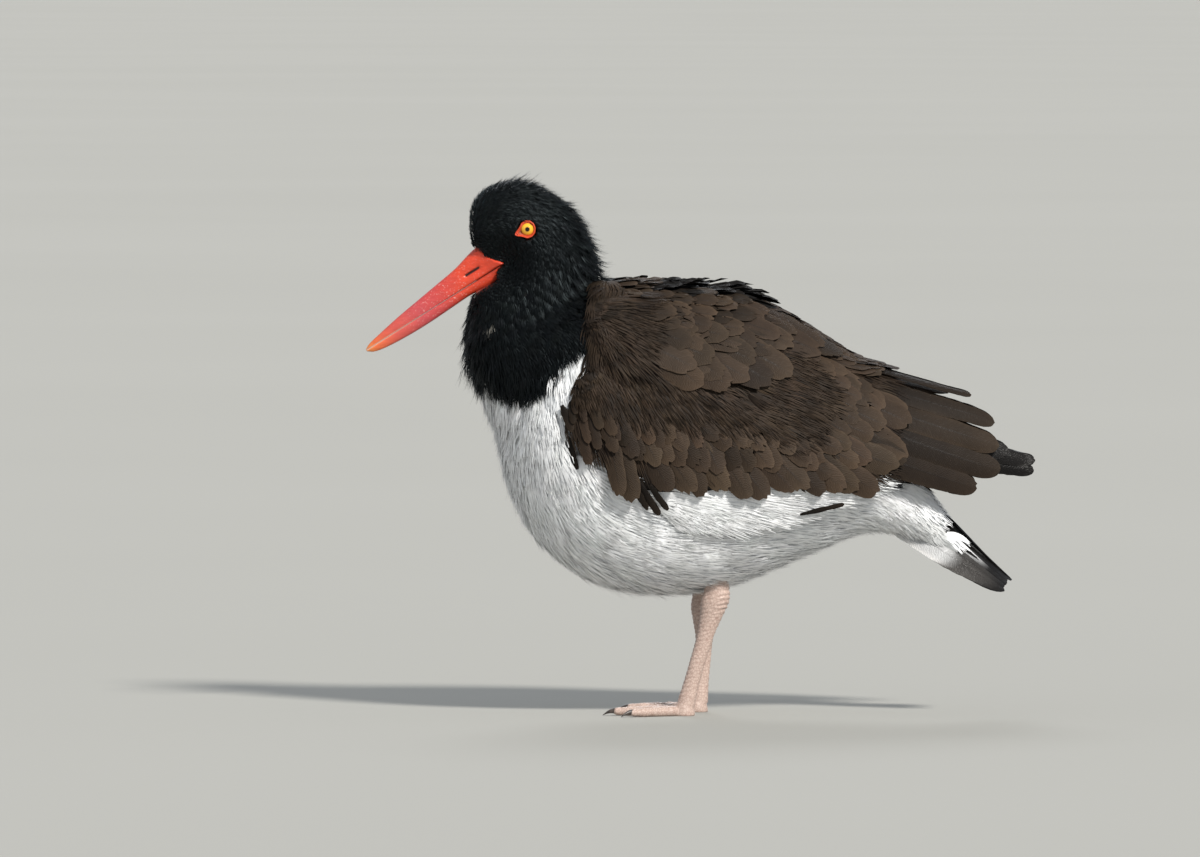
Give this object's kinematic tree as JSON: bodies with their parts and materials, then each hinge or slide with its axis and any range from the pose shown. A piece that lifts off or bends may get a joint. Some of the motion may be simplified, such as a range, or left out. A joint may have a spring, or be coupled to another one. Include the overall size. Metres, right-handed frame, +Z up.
{
  "type": "oystercatcher model",
  "caption": "Life-size still model of a standing oystercatcher with a long orange bill, black head, brown back and white belly, resting on its feet.",
  "frame": {"origin": "on the floor under the middle of the length from bill tip to wing tip, on the bird's middle plane", "axes": "+Z up, -X the way the bird faces, +Y its right side"},
  "size_m": [0.3606, 0.136, 0.2881],
  "materials": {
    "black_plumage": "soft black feathers with a faint blue-green sheen",
    "white_plumage": "soft white feathers",
    "brown_plumage": "overlapping brown feathers with paler edges",
    "dark_flight_feathers": "smooth blackish feathers",
    "bill": "satin orange-red horn with a yellow-orange tip",
    "eye": "wet golden-yellow iris with a black pupil",
    "eye_ring": "bare orange-red skin",
    "leg_skin": "pale pink scaly skin",
    "claw": "dark smooth horn"
  },
  "bodies": {
    "root": {"head": "black_plumage", "neck": "black_plumage", "breast": "white_plumage", "trunk": "white_plumage", "rump": "white_plumage", "secondaries_left": "white_plumage", "thigh_left": "white_plumage", "secondaries_right": "white_plumage", "thigh_right": "white_plumage", "scapulars_left": "brown_plumage", "wing_coverts_left": "brown_plumage", "tertial_1_left": "brown_plumage", "tertial_2_left": "brown_plumage", "tertial_3_left": "brown_plumage", "tertial_4_left": "brown_plumage", "tertial_5_left": "brown_plumage", "scapulars_right": "brown_plumage", "wing_coverts_right": "brown_plumage", "tertial_1_right": "brown_plumage", "tertial_2_right": "brown_plumage", "tertial_3_right": "brown_plumage", "tertial_4_right": "brown_plumage", "tertial_5_right": "brown_plumage", "tail": "dark_flight_feathers", "primary_1_left": "dark_flight_feathers", "primary_2_left": "dark_flight_feathers", "primary_1_right": "dark_flight_feathers", "primary_2_right": "dark_flight_feathers", "bill_upper": "bill", "bill_lower": "bill", "eye_left": "eye", "eye_right": "eye", "eye_ring_left": "eye_ring", "eye_ring_right": "eye_ring", "shank_left": "leg_skin", "tarsus_left": "leg_skin", "foot_left": "leg_skin", "toe_inner_left": "leg_skin", "toe_middle_left": "leg_skin", "toe_outer_left": "leg_skin", "shank_right": "leg_skin", "tarsus_right": "leg_skin", "foot_right": "leg_skin", "toe_inner_right": "leg_skin", "toe_middle_right": "leg_skin", "toe_outer_right": "leg_skin", "claw_inner_left": "claw", "claw_middle_left": "claw", "claw_outer_left": "claw", "claw_inner_right": "claw", "claw_middle_right": "claw", "claw_outer_right": "claw"}
  },
  "joints": []
}
